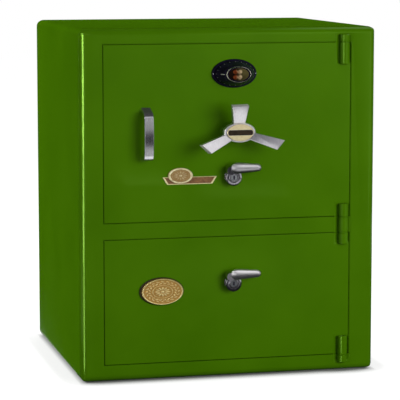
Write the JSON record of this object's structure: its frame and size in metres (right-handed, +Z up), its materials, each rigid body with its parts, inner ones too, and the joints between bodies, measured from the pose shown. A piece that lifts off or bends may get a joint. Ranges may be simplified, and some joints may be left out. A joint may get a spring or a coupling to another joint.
{
  "type": "two-door safe",
  "caption": "Steel safe with stacked hinged doors, a combination dial, a spoked handle and key levers that throw sliding bolts, and lined compartments in a fire-filled casing.",
  "frame": {"origin": "centre of the casing's base, which is also the centre of the anchor hole pattern", "axes": "+Z up, +X to the right seen from the front, the doors face -Y"},
  "size_m": [0.66, 0.6279, 0.76],
  "materials": {
    "green_paint": "satin",
    "interior_paint": "satin",
    "concrete": "matte",
    "steel": "satin",
    "chrome": "polished",
    "brass": "satin",
    "bronze": "satin",
    "black": "gloss"
  },
  "bodies": {
    "cabinet": {"outer_casing": "green_paint", "back_panel": "green_paint", "front_frame": "green_paint", "fire_fill": "concrete", "upper_jamb": "green_paint", "lower_jamb": "green_paint", "upper_liner": "interior_paint", "lower_liner": "interior_paint", "shelf": "interior_paint", "shelf_pegs": "steel", "frame_knuckles": "green_paint", "hinge_pins": "steel", "hinge_washers": "brass"},
    "upper_door": {"upper_skin": "green_paint", "upper_knuckles": "green_paint", "upper_plug_frame": "green_paint", "upper_door_fill": "concrete", "upper_mechanism_plate": "steel", "upper_rear_cover": "interior_paint", "upper_screws": "steel", "upper_guide_pins": "steel", "pull_handle": "chrome", "badge_ribbon": "brass", "badge_coin": "brass", "handle_rose": "green_paint", "dial_plate": "black", "lock_case": "steel", "lock_cover": "steel", "upper_lever_rose": "chrome"},
    "three_arm_handle": {"three_arm_handle": "chrome", "hub_cap": "brass", "handle_spindle": "steel", "handle_cam": "steel"},
    "upper_boltwork": {"upper_carrier": "steel", "upper_bolts": "chrome"},
    "dial": {"dial_knob": "black", "dial_ring": "chrome", "dial_emblem": "bronze", "dial_spindle": "steel"},
    "wheel_pack": {"code_wheels": "brass"},
    "lock_bolt": {"lock_bolt": "brass"},
    "upper_lever": {"upper_lever": "chrome", "upper_lever_spindle": "steel"},
    "upper_key": {"upper_key_plug": "steel"},
    "upper_latch": {"upper_latch_bar": "steel"},
    "lower_door": {"lower_skin": "green_paint", "lower_knuckles": "green_paint", "lower_plug_frame": "green_paint", "lower_door_fill": "concrete", "lower_mechanism_plate": "steel", "lower_rear_cover": "interior_paint", "lower_screws": "steel", "lower_guide_pins": "steel", "medallion": "brass", "lower_lever_rose": "chrome"},
    "lower_lever": {"lower_lever": "chrome", "lower_lever_spindle": "steel"},
    "lower_key": {"lower_key_plug": "steel"},
    "lower_boltwork": {"lower_carrier": "steel", "lower_bolts": "chrome"}
  },
  "joints": [
    {"name": "upper_door_swing", "type": "hinge", "parent": "cabinet", "child": "upper_door", "pos_m": [0.257, -0.278, 0.5355], "axis": [0, 0, 1], "range_deg": [0, 110]},
    {"name": "lower_door_swing", "type": "hinge", "parent": "cabinet", "child": "lower_door", "pos_m": [0.257, -0.278, 0.1725], "axis": [0, 0, 1], "range_deg": [0, 110]},
    {"name": "handle_turn", "type": "hinge", "parent": "upper_door", "child": "three_arm_handle", "pos_m": [0.009, -0.275, 0.539], "axis": [0, -1, 0], "range_deg": [0, 60]},
    {"name": "upper_bolt_throw", "type": "slide", "parent": "upper_door", "child": "upper_boltwork", "axis": [-1, 0, 0], "range_m": [0, 0.02]},
    {"name": "dial_turn", "type": "hinge", "parent": "upper_door", "child": "dial", "pos_m": [0.009, -0.275, 0.662], "axis": [0, -1, 0], "continuous": true},
    {"name": "wheel_turn", "type": "hinge", "parent": "upper_door", "child": "wheel_pack", "pos_m": [0.009, -0.275, 0.662], "axis": [0, -1, 0], "continuous": true},
    {"name": "lock_bolt_slide", "type": "slide", "parent": "upper_door", "child": "lock_bolt", "axis": [0, 0, -1], "range_m": [0, 0.009]},
    {"name": "upper_lever_turn", "type": "hinge", "parent": "upper_door", "child": "upper_lever", "pos_m": [0.004, -0.275, 0.439], "axis": [0, 1, 0], "range_deg": [0, 90]},
    {"name": "upper_latch_throw", "type": "slide", "parent": "upper_door", "child": "upper_latch", "axis": [-1, 0, 0], "range_m": [0, 0.02]},
    {"name": "upper_key_turn", "type": "hinge", "parent": "upper_lever", "child": "upper_key", "pos_m": [0.004, -0.275, 0.439], "axis": [0, 1, 0], "range_deg": [0, 90]},
    {"name": "lower_lever_turn", "type": "hinge", "parent": "lower_door", "child": "lower_lever", "pos_m": [0.004, -0.275, 0.208], "axis": [0, 1, 0], "range_deg": [0, 90]},
    {"name": "lower_bolt_throw", "type": "slide", "parent": "lower_door", "child": "lower_boltwork", "axis": [-1, 0, 0], "range_m": [0, 0.02]},
    {"name": "lower_key_turn", "type": "hinge", "parent": "lower_lever", "child": "lower_key", "pos_m": [0.004, -0.275, 0.208], "axis": [0, 1, 0], "range_deg": [0, 90]}
  ],
  "couplings": [
    {"joint": "upper_bolt_throw", "follows": "handle_turn", "m_per_rad": 0.019099},
    {"joint": "wheel_turn", "follows": "dial_turn", "ratio": 1},
    {"joint": "upper_latch_throw", "follows": "upper_lever_turn", "m_per_rad": 0.012732},
    {"joint": "lower_bolt_throw", "follows": "lower_lever_turn", "m_per_rad": 0.012732}
  ]
}
